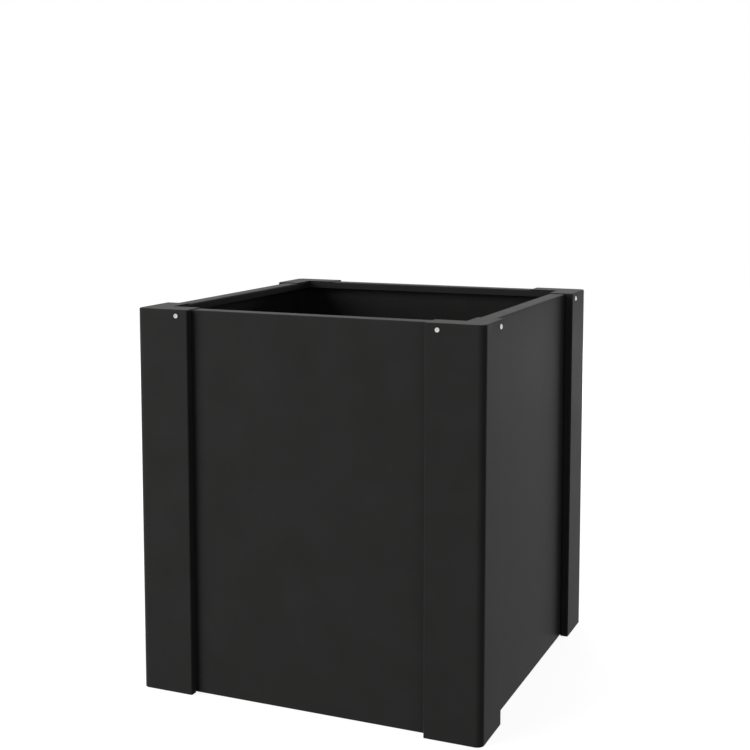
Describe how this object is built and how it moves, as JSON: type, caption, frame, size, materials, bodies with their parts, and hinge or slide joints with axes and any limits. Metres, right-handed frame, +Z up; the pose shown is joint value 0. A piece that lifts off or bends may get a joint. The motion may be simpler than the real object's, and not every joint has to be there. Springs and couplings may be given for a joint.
{
  "type": "square planter box",
  "caption": "Square black steel planter box: recessed folded panels, proud corner posts capped over an inward rim, drained floor pan.",
  "frame": {"origin": "centre of the footprint, on the ground", "axes": "+Z up, -Y towards the front panel, +X to the right seen from the front"},
  "size_m": [0.7056, 0.7056, 0.75],
  "materials": {
    "post_steel": "satin black powder coat",
    "panel_steel": "satin black powder coat",
    "floor_steel": "satin black powder coat",
    "stainless_steel": "bright stainless steel",
    "spacer_zinc": "zinc plated"
  },
  "bodies": {
    "root": {"anchor_bolts_back_left": "stainless_steel", "anchor_bolts_back_right": "stainless_steel", "anchor_bolts_front_left": "stainless_steel", "anchor_bolts_front_right": "stainless_steel", "anchor_nuts_back_left": "stainless_steel", "anchor_nuts_back_right": "stainless_steel", "anchor_nuts_front_left": "stainless_steel", "anchor_nuts_front_right": "stainless_steel", "corner_bolts_back_left": "stainless_steel", "corner_bolts_back_right": "stainless_steel", "corner_bolts_front_left": "stainless_steel", "corner_bolts_front_right": "stainless_steel", "corner_nuts_back_left": "stainless_steel", "corner_nuts_back_right": "stainless_steel", "corner_nuts_front_left": "stainless_steel", "corner_nuts_front_right": "stainless_steel", "floor_pan": "floor_steel", "floor_rail_left": "floor_steel", "floor_rail_right": "floor_steel", "panel_back": "panel_steel", "panel_front": "panel_steel", "panel_left": "panel_steel", "panel_right": "panel_steel", "post_back_left": "post_steel", "post_back_right": "post_steel", "post_front_left": "post_steel", "post_front_right": "post_steel", "post_nuts_back_left": "stainless_steel", "post_nuts_back_right": "stainless_steel", "post_nuts_front_left": "stainless_steel", "post_nuts_front_right": "stainless_steel", "post_screws_back_left": "stainless_steel", "post_screws_back_right": "stainless_steel", "post_screws_front_left": "stainless_steel", "post_screws_front_right": "stainless_steel", "post_spacers_back_left": "spacer_zinc", "post_spacers_back_right": "spacer_zinc", "post_spacers_front_left": "spacer_zinc", "post_spacers_front_right": "spacer_zinc"}
  },
  "joints": []
}
